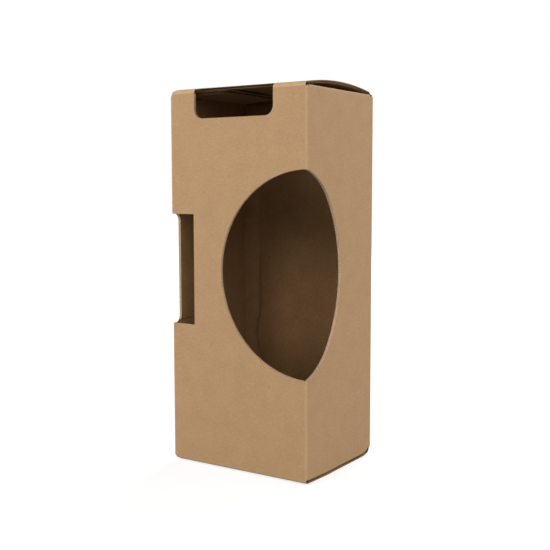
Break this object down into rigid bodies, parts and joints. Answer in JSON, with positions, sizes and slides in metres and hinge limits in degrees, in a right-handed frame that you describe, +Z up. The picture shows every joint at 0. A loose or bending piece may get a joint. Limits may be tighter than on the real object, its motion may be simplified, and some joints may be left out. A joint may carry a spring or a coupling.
{
  "type": "tumbler carton",
  "caption": "Tall folded carton of plain brown corrugated board for an insulated tumbler, with an oval window round one fold and a tuck lid.",
  "frame": {"origin": "under the middle of the carton, on the surface that it stands on", "axes": "+Z up along the carton; the front panel, which carries both closures, faces -Y; the right panel with the window's tip faces +X"},
  "size_m": [0.094, 0.0764, 0.2239],
  "materials": {
    "kraft_board": "matte"
  },
  "bodies": {
    "carton": {"carton_body": "kraft_board"},
    "lid": {"top_lid": "kraft_board"},
    "base_panel": {"base_closure": "kraft_board"}
  },
  "joints": [
    {"name": "lid_hinge", "type": "hinge", "parent": "carton", "child": "lid", "pos_m": [0, -0.0382, 0.21861], "axis": [1, 0, 0], "range_deg": [0, 180]},
    {"name": "base_hinge", "type": "hinge", "parent": "carton", "child": "base_panel", "pos_m": [0, -0.0382, 0.00291], "axis": [-1, 0, 0], "range_deg": [0, 180]}
  ]
}
